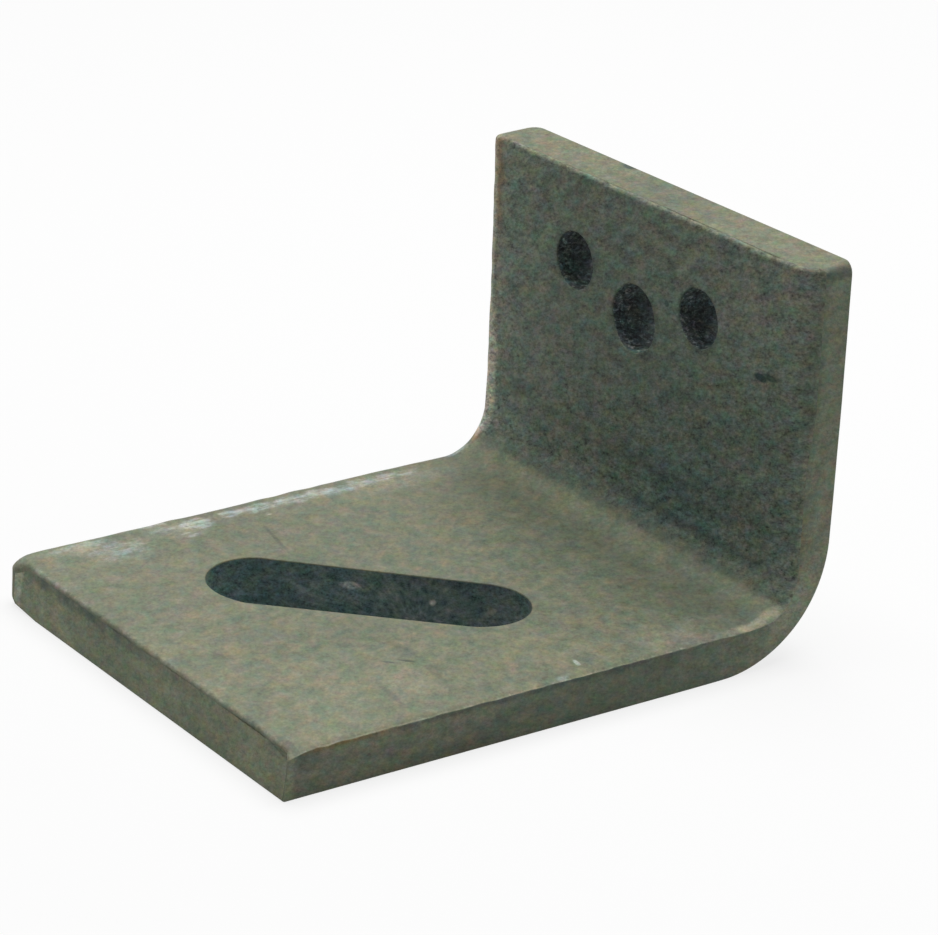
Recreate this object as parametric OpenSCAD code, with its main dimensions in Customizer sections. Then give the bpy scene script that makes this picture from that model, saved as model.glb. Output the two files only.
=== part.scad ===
// Heavy angle anchor: one thick flat bar, bent once, with a diagonal slot in the foot
// and a triangle of three holes in the upright.
// Millimetres. +Z is up, the foot lies on z = 0, and the upright stands at the +Y end.

/* [Bar] */
// Width of the flat bar across X
bar_w = 100; // [70:1:140]
// Thickness of the flat bar
bar_t = 10; // [8:0.5:12]

/* [Legs] */
// Length of the foot, from its free end to the back face of the upright
foot_l = 121; // [112:0.5:150]
// Height of the upright, from the underside of the foot to its top end
upright_h = 78.5; // [70:0.5:110]

/* [Bend] */
// Radius of the inside of the bend
bend_in_r = 9.5; // [6:0.5:12]
// Radius of the outside of the bend
bend_out_r = 24; // [20:0.5:26]

/* [Slot] */
// Width of the slot
slot_w = 21; // [12:0.5:24]
// Distance between the centres of the round ends of the slot
slot_cc = 42; // [20:0.5:46]
// Angle of the slot to the free end of the foot
slot_angle = 45; // [30:1:60]
// Distance from the free end to the middle of the slot
slot_from_end = 49.5; // [44:0.5:56]

/* [Holes] */
// Diameter of the two upper holes
hole_d = 11.5; // [6:0.5:14]
// Diameter of the lower hole between them
low_hole_d = 13.5; // [6:0.5:16]
// Distance between the two upper holes
hole_pitch = 39; // [34:0.5:60]
// Distance from the top end of the upright down to the two upper holes
hole_from_top = 19; // [12:0.5:26]
// How far the lower hole sits below the two upper holes
low_hole_drop = 6; // [0:0.5:12]
// Sideways place of the whole group of holes
hole_group_x = -1.5; // [-8:0.5:8]

/* [Edges] */
// Softness of the long edges on the inner face
long_edge_r = 1.8; // [0.5:0.1:3]
// Softness of the inner edges at the two cropped ends
end_edge_r = 2.2; // [0.5:0.1:3]
// Corner radius of the foot at its -X free corner
foot_corner_r = 5; // [3.5:0.5:12]
// Corner radius of the two top corners of the upright
top_corner_r = 3; // [0.5:0.5:12]
// Softness of the rims of the slot and the holes on the inner face
rim_r = 0.8; // [0.2:0.1:1.5]

/* [Hidden] */
$fn = 96;
// Overlap of every cutting body past the faces it cuts
over = 2;
// An edge arc a little larger than its corner box meets both faces at a small angle
arc_grow = 1.04;
back_y = foot_l / 2;
front_y = -foot_l / 2;
inner_y = back_y - bar_t;
bend_axis_y = inner_y - bend_in_r;
bend_axis_z = bar_t + bend_in_r;
hole_z = upright_h - hole_from_top;
low_hole_z = hole_z - low_hole_drop;
slot_y = front_y + slot_from_end;

// Side outline of the bent bar in (Y, Z): two legs, the inside fillet and the outside round
module bent_profile() {
  difference() {
    union() {
      translate([front_y, 0])
        square([foot_l, bar_t]);
      translate([inner_y, 0])
        square([bar_t, upright_h]);
      difference() {
        translate([bend_axis_y, bar_t / 2])
          square(bend_in_r + bar_t / 2);
        translate([bend_axis_y, bend_axis_z])
          circle(bend_in_r);
      }
    }
    difference() {
      translate([back_y - bend_out_r, -over])
        square([bend_out_r + over, bend_out_r + over]);
      translate([back_y - bend_out_r, bend_out_r])
        circle(bend_out_r);
    }
  }
}

// What is taken off a square edge to soften it; the edge is at the origin, the metal at +x, +y
module edge_cut(r) {
  difference() {
    translate([-over, -over])
      square(r + over);
    translate([r, r])
      circle(r * arc_grow);
  }
}

// Runs a section along the inner face: up the foot, round the bend and up the upright.
// Section x is across the bar, section y is the depth below the inner face.
module along_inner_face() {
  translate([0, front_y - over, bar_t])
    rotate([-90, 0, 0])
      linear_extrude(bend_axis_y - front_y + over)
        children();
  translate([0, bend_axis_y, bend_axis_z])
    rotate([-90, 0, 0])
      rotate([0, -90, 0])
        rotate_extrude(angle = 90)
          translate([bend_in_r, 0])
            rotate(-90)
              children();
  translate([0, inner_y, bend_axis_z])
    linear_extrude(upright_h - bend_axis_z + over)
      children();
}

// Softened long edges on the inner face, one on each side of the bar
module long_edges() {
  along_inner_face()
    translate([-bar_w / 2, 0])
      edge_cut(long_edge_r);
  along_inner_face()
    translate([bar_w / 2, 0])
      mirror([1, 0])
        edge_cut(long_edge_r);
}

// Rolled-over inner edges where the bar was cropped to length
module cropped_ends() {
  translate([-bar_w / 2 - over, front_y, bar_t])
    rotate([90, 0, 90])
      linear_extrude(bar_w + 2 * over)
        mirror([0, 1])
          edge_cut(end_edge_r);
  translate([-bar_w / 2 - over, inner_y, upright_h])
    rotate([90, 0, 90])
      linear_extrude(bar_w + 2 * over)
        mirror([0, 1])
          edge_cut(end_edge_r);
}

// Rounded corners, seen square on to each leg
module leg_corners() {
  translate([-bar_w / 2, front_y, -over])
    linear_extrude(bar_t + 2 * over)
      edge_cut(foot_corner_r);
  for (side = [-1, 1])
    translate([side * bar_w / 2, back_y + over, upright_h])
      rotate([90, 0, 0])
        linear_extrude(bar_t + 2 * over)
          mirror([side > 0 ? 1 : 0, 0])
            mirror([0, 1])
              edge_cut(top_corner_r);
}

// A round hole of diameter d, cut downwards from z = 0, with its upper rim softened
module rimmed_bore(d) {
  translate([0, 0, -bar_t - over])
    cylinder(d = d, h = bar_t + 2 * over);
  rotate_extrude()
    translate([d / 2, 0])
      mirror([0, 1])
        rim_section();
}

// Section of a softened rim; the bore wall is at x = 0 and the metal at +x
module rim_section() {
  difference() {
    translate([-over, -over])
      square(rim_r + over);
    translate([rim_r, rim_r])
      circle(rim_r * arc_grow);
  }
}

// The diagonal slot, cut downwards from z = 0 about its own middle, with its upper rim softened
module rimmed_slot() {
  for (side = [-1, 1])
    translate([side * slot_cc / 2, 0, 0])
      rimmed_bore(slot_w);
  translate([-slot_cc / 2, -slot_w / 2, -bar_t - over])
    cube([slot_cc, slot_w, bar_t + 2 * over]);
  for (side = [0, 1])
    mirror([0, side, 0])
      translate([-slot_cc / 2, slot_w / 2, 0])
        rotate([90, 0, 90])
          linear_extrude(slot_cc)
            mirror([0, 1])
              rim_section();
}

module angle_anchor() {
  color([0.33, 0.34, 0.30])
    difference() {
      translate([-bar_w / 2, 0, 0])
        rotate([90, 0, 90])
          linear_extrude(bar_w)
            bent_profile();
      long_edges();
      cropped_ends();
      leg_corners();
      translate([0, slot_y, bar_t])
        rotate([0, 0, slot_angle])
          rimmed_slot();
      for (side = [-1, 1])
        translate([hole_group_x + side * hole_pitch / 2, inner_y, hole_z])
          rotate([90, 0, 0])
            rimmed_bore(hole_d);
      translate([hole_group_x, inner_y, low_hole_z])
        rotate([90, 0, 0])
          rimmed_bore(low_hole_d);
    }
}

angle_anchor();
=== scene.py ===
"""Heavy angle anchor: the look of one thick flat bar, bent once, as it leaves the press.

Run as a script in Blender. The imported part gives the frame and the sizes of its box.
"""

import math

import bmesh
import bpy
from bpy.props import FloatProperty, FloatVectorProperty, PointerProperty
from mathutils import Matrix, Vector, noise


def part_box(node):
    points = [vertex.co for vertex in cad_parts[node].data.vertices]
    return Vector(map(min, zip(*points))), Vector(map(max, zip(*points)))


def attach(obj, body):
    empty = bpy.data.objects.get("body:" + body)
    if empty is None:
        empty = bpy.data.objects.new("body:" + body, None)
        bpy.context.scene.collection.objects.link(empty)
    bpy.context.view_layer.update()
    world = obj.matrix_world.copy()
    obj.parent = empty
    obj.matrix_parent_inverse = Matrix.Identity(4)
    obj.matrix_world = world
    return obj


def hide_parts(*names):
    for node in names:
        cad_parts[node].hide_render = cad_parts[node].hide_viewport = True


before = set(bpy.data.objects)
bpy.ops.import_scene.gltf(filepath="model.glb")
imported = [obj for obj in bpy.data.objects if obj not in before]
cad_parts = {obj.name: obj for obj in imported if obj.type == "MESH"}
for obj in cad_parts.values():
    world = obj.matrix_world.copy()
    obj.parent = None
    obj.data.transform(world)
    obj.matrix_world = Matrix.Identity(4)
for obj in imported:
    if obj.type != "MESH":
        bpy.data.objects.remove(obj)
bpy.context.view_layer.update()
NODE = "angle_anchor"
NODE_LOW, NODE_HIGH = (Vector(corner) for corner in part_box(NODE))
IMAGE_W = 938.0
SENSOR_MM = 36.0
MM = 0.001
# Points closer than this are merged.
MERGE = 1e-7
# How far from an edge its wear reaches.
WEAR_REACH = 2 * MM
# How far the cutting bodies stand out of the bar.
OVERCUT = 4 * MM
# How ragged the walls of the holes are, as a share of their radius.
HOLE_RAGGED = 0.05
# Steps round a cutting body.
SPIN_STEPS = 96
# Faces that meet at more than this meet sharply.
SHARP_ANGLE = math.radians(40)
# Order of the bar's materials.
SCALE_MAT, CUT_MAT, CROPPED_MAT = 0, 1, 2
# Steps in mm at each end of the bar, and where its even steps start.
END_STEPS = (
    0.0, 0.03, 0.1, 0.2, 0.35, 0.55, 0.8, 1.1, 1.5, 2.0, 2.6, 3.3, 4.1, 5.0, 6.0, 7.0, 8.0, 9.0,
)
END_RUN = 10 * MM
# Strip along each long edge that has points of its own.
EDGE_ZONE = 9 * MM

bl_info = {
    "name": "Angle anchor",
    "version": (1, 0, 0),
    "blender": (4, 5, 0),
    "location": "View3D > Sidebar > Anchor",
    "description": "Builds a heavy bent-bar angle anchor and its studio stage",
    "category": "Object",
}


def length(name, description, default):
    """A length in metres, from a default in millimetres."""
    return FloatProperty(
        name=name, description=description, default=default * MM, unit="LENGTH", precision=4
    )


def angle(name, description, default):
    """An angle in radians, from a default in degrees."""
    return FloatProperty(
        name=name, description=description, default=math.radians(default), subtype="ANGLE"
    )


def paint(name, description, default):
    """A linear colour that a user can pick."""
    return FloatVectorProperty(
        name=name, description=description, default=default, subtype="COLOR", size=3, min=0.0, max=1.0
    )


class AnchorSizes(bpy.types.PropertyGroup):
    """Sizes of the bent bar."""

    thickness: length("Bar thickness", "Thickness of the flat bar", 10.0)
    bend_in: length("Inside bend radius", "Radius of the inside of the bend", 9.5)
    bend_out: length("Outside bend radius", "Radius of the outside of the bend", 24.0)
    slot_width: length("Slot width", "Width of the diagonal slot", 21.0)
    slot_centres: length("Slot centres", "Distance between the slot's end centres", 42.0)
    slot_from_end: length("Slot from end", "From the free end to the slot's middle", 49.5)
    slot_angle: angle("Slot angle", "Angle of the slot to the free end", 45)
    slot_skew: length("Slot skew", "How far the slot's worn ends lean aside", 1.1)
    hole: length("Upper hole", "Diameter of the two upper holes", 11.5)
    low_hole: length("Lower hole", "Diameter of the lower hole", 13.5)
    hole_pitch: length("Hole pitch", "Distance between the two upper holes", 39.0)
    hole_from_top: length("Hole from top", "From the top end down to the upper holes", 19.0)
    low_hole_drop: length("Lower hole drop", "How far the lower hole sits below the upper ones", 6.0)
    hole_oval: length("Upper hole oval", "How much wider than high the upper holes are", 0.3)
    hole_taper: length("Hole taper", "How much smaller the radius is at the back", 0.4)
    hole_group: length("Hole group place", "Sideways place of the group of holes", -1.5)
    near_roll: length("Near roll", "Depth that the foot's near edge is rolled over", 0.45)
    bend_roll: length("Bend roll", "Depth that the near edge is rolled over up the upright", 1.7)
    top_roll: length("Top roll", "How much deeper the near edge is rolled at the top", 1.3)
    far_roll: length("Far roll", "Depth that the far long edge is rolled over", 0.4)
    edge: length("Edge", "Radius left on the edges", 0.35)
    far_edge: length("Far back edge", "Radius of the far edge at the back", 2.2)
    end_edge: length("End edge", "Radius of the inner edges of the two ends", 0.9)
    rim: length("Rim", "Softness of the rims of the slot and the holes", 0.25)
    side_lean: length("Side lean", "How far the near side draws in at the back", 1.15)
    free_set: length("Free end set-back", "How far the top edge of the free end sits back", 1.0)
    top_set: length("Top end set-back", "How far the front edge of the top end sits low", 0.75)
    free_corner: length("Free corner", "Radius of the far corner at the free end", 2.5)
    top_corner: length("Top corner", "Radius of the corners at the top end", 2.2)


class AnchorFinish(bpy.types.PropertyGroup):
    """Colours of the mill scale."""

    scale_light: paint("Scale, light", "Light parts of the mill scale", (0.207, 0.218, 0.147))
    scale_dark: paint("Scale, dark", "Dark parts of the mill scale", (0.172, 0.185, 0.128))
    # Partly the scale's own blue-green, partly a painted cool tint of the shade on the upright's
    # inner face.
    scale_cool_and_shade: paint("Scale, cool", "Blue-green scale inside the bend", (0.134, 0.168, 0.137))
    # Paler scale on the upright, and painted light that lifts the shade of its rolled near edge.
    scale_pale_and_lit: paint("Scale, pale", "Paler parts of the scale inside the bend", (0.22, 0.245, 0.20))
    worn: paint("Worn edge", "Bare steel along the worn edges", (0.36, 0.355, 0.27))
    scuff: paint("Scuff", "Pale scuffs from handling", (0.45, 0.49, 0.45))
    rust: paint("Rust", "Thin brown rust", (0.22, 0.145, 0.06))
    crop_light: paint("Cropped, light", "Light parts of the cropped steel", (0.31, 0.335, 0.235))
    crop_dark: paint("Cropped, dark", "Dark parts of the cropped steel", (0.235, 0.255, 0.185))
    # A painted light: the far corner of the free end stands in shade and is made lighter, as if lit
    # from the far side.
    corner: paint("Worn corner", "Steel rubbed bare on the far corner", (0.46, 0.48, 0.36))
    side: paint("Upright side", "Scale where the upright meets its near side", (0.235, 0.255, 0.19))
    # Bright burrs, partly a painted yellowish glint where the near edge meets the end of the crease.
    burr_and_glint: paint("Burr", "Bright burrs left by the press", (0.52, 0.48, 0.31))
    # A painted highlight: a bright strip along the upright's far edge, which lifts the shade of its
    # rolled edge.
    far_edge_highlight: paint("Bare edge", "Steel rubbed bright on the upright's far edge", (0.82, 0.79, 0.62))
    top: paint("Top end", "Bright cropped end at the top", (0.181, 0.183, 0.122))
    shear: paint("Shear band", "Smooth dark band of the sheared end", (0.085, 0.11, 0.093))
    stain: paint("Stain", "Dark stains and cracks in the scale", (0.07, 0.085, 0.075))
    cut: paint("Cut wall", "Blue-black walls of the slot", (0.108, 0.172, 0.165))
    cut_pale: paint("Cut wall, pale", "Paler parts of the slot's walls", (0.13, 0.195, 0.185))
    cut_fleck: paint("Cut wall fleck", "Pale flecks on the walls of the cuts", (0.30, 0.34, 0.33))
    pit: paint("Pit", "Dark pits in the scale of the upright", (0.03, 0.065, 0.052))
    # Painted shade: the walls of the holes darkened, and a dark band on the slot's wall.
    cut_shade: paint("Soot", "Soot on the walls of the holes", (0.066, 0.082, 0.083))


class AnchorStage(bpy.types.PropertyGroup):
    """Camera and light."""

    azimuth: angle("Azimuth", "Camera angle round the part", 53.93)
    elevation: angle("Elevation", "Camera angle above the floor", 21.80)
    roll: angle("Roll", "Camera roll", 2.36)
    distance: length("Distance", "Camera distance from the foot of the upright's back", 740.63)
    slide_x: length("Slide across", "Camera slide across the view", -38.73)
    slide_y: length("Slide up", "Camera slide up the view", 19.49)
    focal_px: FloatProperty(
        name="Focal length", description="Focal length in pixels of the picture", default=3707.4
    )
    floor: paint("Floor", "Colour of the pale floor", (0.5, 0.5, 0.5))


def spread(start, stop, count):
    """Evenly spaced values from start to stop, both ends included."""
    return [start + (stop - start) * i / (count - 1) for i in range(count)]


class BentBar:
    """Maps a place on the bar (round its section, along its length) to a point in the frame."""

    def __init__(self, sizes):
        self.s = sizes
        self.t = sizes.thickness
        self.front = NODE_LOW.y
        self.back = NODE_HIGH.y
        self.top = NODE_HIGH.z
        self.half = NODE_HIGH.x
        self.inner_y = self.back - self.t
        self.in_axis = Vector((self.inner_y - sizes.bend_in, self.t + sizes.bend_in))
        self.out_axis = Vector((self.back - sizes.bend_out, sizes.bend_out))
        self.stations = self.make_stations()
        self.section = self.make_section()

    def make_stations(self):
        """Pairs of inner and outer points in (Y, Z), from the free end to the top end."""
        near_end = [e * MM for e in END_STEPS]
        rows = []
        run_in = self.in_axis.x - self.front
        run_out = self.out_axis.x - self.front
        for e in near_end + spread(END_RUN, run_in, 92):
            y_out = self.front + e + (run_out - run_in) * max(0.0, e / run_in - 0.2) / 0.8
            rows.append((Vector((self.front + e, self.t)), Vector((y_out, 0.0))))
        for turn in spread(0.0, math.pi / 2, 33)[1:]:
            way = Vector((math.sin(turn), -math.cos(turn)))
            rows.append((self.in_axis + way * self.s.bend_in, self.out_axis + way * self.s.bend_out))
        rise_in = self.top - self.in_axis.y
        rise_out = self.top - self.out_axis.y
        for e in spread(rise_in, END_RUN, 50)[1:] + near_end[::-1]:
            z_out = self.top - e - (rise_out - rise_in) * max(0.0, e / rise_in - 0.25) / 0.75
            rows.append((Vector((self.inner_y, self.top - e)), Vector((self.back, z_out))))
        return rows

    def make_section(self):
        """Places round the section: which stretch of it, and how far along that stretch."""
        roll = (1.0, 0.85, 0.7, 0.56, 0.43, 0.31, 0.2, 0.1, 0.0)
        turn = [math.radians(a) for a in (22.5, 45, 67.5, 90)]
        wall = spread(0.0, 1.0, 8)[1:]
        step_in = (0.75, 0.5, 0.25)
        loop = [("face", m) for m in spread(0.0, 1.0, 21)]
        loop += [("near_in", f) for f in step_in] + [("near_roll", u) for u in roll]
        loop += [("near_turn", a) for a in turn] + [("near_wall", v) for v in wall]
        loop += [("near_out", a) for a in turn]
        loop += [("back", m) for m in spread(1.0, 0.0, 21)]
        loop += [("far_out", a) for a in reversed(turn)] + [("far_wall", v) for v in reversed(wall)]
        loop += [("far_turn", a) for a in reversed(turn)]
        loop += [("far_roll", u) for u in reversed(roll)] + [("far_in", f) for f in reversed(step_in)]
        return loop

    def near_depth(self, turn, z):
        """How deep the near edge is rolled over: slight along the foot, most towards the top end."""
        s = self.s
        depth = s.near_roll + (s.bend_roll - s.near_roll) * ease((turn - 4) / 46)
        depth += 0.8 * MM * near_to(turn - 55, 22)
        return depth + s.top_roll * ease((z - 0.036) / 0.014)

    def rolls(self, k):
        """Depth and width of the rolled-over edges at station k: first the near, then the far."""
        s = self.s
        inner = self.stations[k][0]
        turn = math.degrees(math.atan2(inner.x - self.in_axis.x, self.in_axis.y - inner.y))
        along = inner.x + inner.y
        ragged = noise.noise(Vector((along * 260, 3.1, 0.0)))
        ragged += 0.6 * noise.noise(Vector((along * 700, 8.4, 0.0)))
        up = ease((turn - 4) / 46)
        near = self.near_depth(turn, inner.y) * (1 + 0.35 * ragged * (1 - 0.8 * up))
        near += 0.25 * MM * near_to(inner.x + 0.0525, 1.2 * MM)
        far = s.far_roll * (1.5 - 1.2 * ease((inner.x + 0.02) / 0.05) + 0.9 * ease(turn / 60))
        far *= 1 + 0.4 * noise.noise(Vector((along * 240, 1.7, 5.0)))
        return near, (1.1 + 3.4 * up) * MM, far, 1.6 * MM

    def point(self, i, k):
        """The point at section place i (which wraps) and station k."""
        s = self.s
        part, f = self.section[i % len(self.section)]
        inner, outer = self.stations[k]
        free, top = inner.x - self.front, self.top - inner.y
        near_d, near_w, far_d, far_w = self.rolls(k)
        up = ease((inner.y - 0.012) / 0.012)
        bent = near_to(inner.x + inner.y - 0.064, 14 * MM)
        side, _, stretch = part.partition("_")
        roll_d, roll_w = (near_d, near_w) if side == "near" else (far_d, far_w)
        soft = s.edge + (1.1 * MM if side == "near" else 0.4 * MM) * up
        back = s.edge if side == "near" else s.far_edge * (0.55 + 0.45 * up)
        a, depth = 0.0, 0.0
        if stretch == "in":
            a = soft + roll_w + (EDGE_ZONE - soft - roll_w) * f
        elif stretch == "roll":
            a, depth = soft + roll_w * f, roll_d * (1 - f) ** 2
        elif stretch == "turn":
            a, depth = soft * (1 - math.sin(f)), roll_d + soft * (1 - math.cos(f))
        elif stretch == "wall":
            start = roll_d + soft
            depth = start + (self.t - back - start) * f
        elif stretch == "out":
            a, depth = back * (1 - math.cos(f)), self.t - back * (1 - math.sin(f))
        if side == "back":
            depth = self.t
        deep = depth / self.t
        far_x = -self.half + corner_inset(free, s.free_corner)
        far_x += corner_inset(top, s.top_corner * (0.55 + 0.45 * deep))
        far_x += 0.9 * MM * (1 - ease(free / (70 * MM))) - 0.5 * MM * (1 - ease(free / (9 * MM)))
        far_x += 0.45 * MM * up * ease(top / (32 * MM))
        near_x = self.half - corner_inset(top, s.top_corner * (0.36 + 0.75 * deep))
        near_x -= corner_inset(free, 0.5 * MM)
        if side == "near":
            x = near_x - a - (s.side_lean + 0.4 * MM * bent) * max(0.0, depth - roll_d) / self.t
        elif side == "far":
            x = far_x + a
        else:
            x = (far_x + EDGE_ZONE) * (1 - f) + (near_x - EDGE_ZONE) * f
        over = 1 - deep
        sink = end_roll(min(free, top), s.end_edge, s.end_edge) * over ** 6
        lift = end_roll(min(free, top), s.edge, s.edge) * (1 - over) ** 6
        from_far, from_near = x - far_x, self.half - x
        sink += 2.0 * MM * over ** 2 * near_to(free, 3.0 * MM) * near_to(from_far, 3.2 * MM)
        sink += 0.8 * MM * over ** 2 * near_to(free, 3.2 * MM) * near_to(from_near, 2.2 * MM)
        lift += 1.2 * MM * deep ** 3 * near_to(free, 2.0 * MM) * near_to(from_far, 1.6 * MM)
        yz = inner.lerp(outer, (depth + sink - lift) / self.t)
        wavy = noise.noise(Vector((x * 150, 2.0, 7.0)))
        wavy += 0.5 * noise.noise(Vector((x * 420, 2.0, 3.0)))
        held = ease((self.half - x) / (2.2 * MM)) * ease((x + self.half) / (6 * MM))
        yz.x += (s.free_set * held + 0.22 * MM * wavy) * over * max(0.0, 1 - free / (8 * MM))
        yz.y -= (s.top_set + 0.2 * MM * wavy) * over * max(0.0, 1 - top / (8 * MM))
        yz.x = max(yz.x, self.front)
        return Vector((x, yz.x, yz.y))


def ease(x):
    """A smooth step from 0 to 1."""
    x = min(1.0, max(0.0, x))
    return x * x * (3 - 2 * x)


def near_to(distance, reach):
    """A soft bump: 1 at no distance, about a third at the reach."""
    return math.exp(-((distance / reach) ** 2))


def corner_inset(e, radius):
    """How far a side is drawn in by a rounded corner, at a distance e from the end."""
    if e >= radius:
        return 0.0
    return radius - math.sqrt(radius * radius - (radius - e) ** 2)


def end_roll(e, width, depth):
    """How far a face sinks at a distance e from a rolled-over end."""
    if e >= width:
        return 0.0
    return depth * (1 - math.sqrt(1 - ((width - e) / width) ** 2))


def bar_mesh(bar):
    """The bent bar without its openings: a grid wrapped round the section and closed at both ends."""
    bm = bmesh.new()
    around, along = len(bar.section), len(bar.stations) - 1
    bmesh.ops.create_grid(bm, x_segments=around, y_segments=along, size=1.0)
    for v in bm.verts:
        i = round((v.co.x + 1) / 2 * around)
        k = round((v.co.y + 1) / 2 * along)
        v.co = bar.point(i, k)
    bmesh.ops.remove_doubles(bm, verts=bm.verts, dist=MERGE)
    open_edges = [e for e in bm.edges if e.is_boundary]
    caps = bmesh.ops.holes_fill(bm, edges=open_edges, sides=0)["faces"]
    bmesh.ops.recalc_face_normals(bm, faces=bm.faces)
    for face in bm.faces:
        way, middle = face.normal, face.calc_center_median()
        at_free = middle.y < bar.front + 3 * MM and abs(way.z) < 0.6
        at_top = middle.z > bar.top - 3 * MM and abs(way.y) < 0.6
        if abs(way.x) > 0.8 or (abs(way.x) > 0.25 and (at_free or at_top)):
            face.material_index = CROPPED_MAT
    for face in caps:
        face.material_index = CROPPED_MAT
    return bm


def bore_cutter(radius, thickness, rim, stretch=0.0, taper=0.0, ragged=0.0, skew=0.0):
    """A cutting body along -Z from the inner face at z = 0, with a soft rim.

    Stretch makes it a slot; skew lifts one end of it and narrows the other.
    """
    bm = bmesh.new()
    arc = [math.radians(a) for a in (0, 25, 50, 75)]
    outline = [(0.0, OVERCUT), (radius + rim * 1.4, OVERCUT)]
    outline += [(radius + rim * (1 - math.sin(a)), -rim * (1 - math.cos(a))) for a in arc]
    for f in (0.0, 0.15, 0.35, 0.6, 0.8):
        outline.append((radius - taper * f, -rim * 1.2 - (thickness - rim) * f))
    outline += [(radius - taper, -thickness - OVERCUT), (0.0, -thickness - OVERCUT)]
    tilt = Matrix.Rotation(math.pi / SPIN_STEPS, 3, "Z")
    verts = [bm.verts.new(tilt @ Vector((r, 0.0, z))) for r, z in outline]
    edges = [bm.edges.new(pair) for pair in zip(verts, verts[1:])]
    bmesh.ops.spin(
        bm, geom=verts + edges, cent=(0, 0, 0), axis=(0, 0, 1), dvec=(0, 0, 0),
        angle=2 * math.pi, steps=SPIN_STEPS, use_merge=True, use_duplicate=False,
    )
    bmesh.ops.remove_doubles(bm, verts=bm.verts, dist=MERGE)
    for v in bm.verts:
        around = Vector((v.co.x, v.co.y, 0.0))
        if around.length > 1e-6:
            way = around.normalized()
            tear = noise.noise(way * 1.3 + Vector((0, 0, radius * 900)))
            tear += 0.5 * noise.noise(way * 7 + Vector((0, 0, v.co.z * 500)))
            v.co += around * ragged * tear
            side, up = v.co.x / radius, v.co.y / radius
            if side < 0:
                v.co.y += skew * (0.14 * (up + 1) - side * (2 + side))
                v.co.x += skew / 3 - stretch / 2
            else:
                v.co.y -= skew * (0.36 * up + 0.25)
                v.co.x += stretch / 2
    bmesh.ops.recalc_face_normals(bm, faces=bm.faces)
    for face in bm.faces:
        face.material_index = CUT_MAT if face.calc_center_median().z < -rim else SCALE_MAT
    return bm


def mark_wear(mesh, bar):
    """Stores how near each point lies to a worn edge of the inner face: 1 on it, 0 out of reach."""
    s = bar.s
    layer = mesh.attributes.new("wear", "FLOAT", "POINT")
    for v, slot in zip(mesh.vertices, layer.data):
        x, y, z = v.co
        turn = math.degrees(math.atan2(y - bar.in_axis.x, bar.in_axis.y - z))
        if turn < 0:
            depth = bar.t - z
        elif turn > 90:
            depth = y - bar.inner_y
        else:
            depth = math.hypot(y - bar.in_axis.x, z - bar.in_axis.y) - s.bend_in
        near = math.hypot(bar.half - x, depth - bar.near_depth(turn, z))
        far = math.hypot(x + bar.half, depth - s.far_roll)
        free = math.hypot(y - bar.front - s.free_set, depth)
        top = math.hypot(bar.top - s.top_set - z, depth)
        slot.value = max(0.0, 1 - min(near, far, free, top) / WEAR_REACH)


def as_object(name, bm):
    """A new object in the scene from a bmesh, which it uses up."""
    mesh = bpy.data.meshes.new(name)
    bm.to_mesh(mesh)
    bm.free()
    obj = bpy.data.objects.new(name, mesh)
    bpy.context.scene.collection.objects.link(obj)
    return obj


def cut_openings(obj, cutters):
    """Cuts the openings out of a piece for good, and drops the spare points along the cuts."""
    for cutter in cutters:
        mod = obj.modifiers.new("cut", "BOOLEAN")
        mod.object = cutter
        mod.operation = "DIFFERENCE"
        mod.solver = "EXACT"
    graph = bpy.context.evaluated_depsgraph_get()
    mesh = bpy.data.meshes.new_from_object(obj.evaluated_get(graph))
    obj.modifiers.clear()
    old = obj.data
    obj.data = mesh
    bpy.data.meshes.remove(old)
    mesh.name = obj.name
    bm = bmesh.new()
    bm.from_mesh(mesh)
    bmesh.ops.dissolve_verts(bm, verts=[v for v in bm.verts if len(v.link_edges) == 2])
    bm.to_mesh(mesh)
    bm.free()
    for cutter in cutters:
        spare = cutter.data
        bpy.data.objects.remove(cutter)
        bpy.data.meshes.remove(spare)


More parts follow.
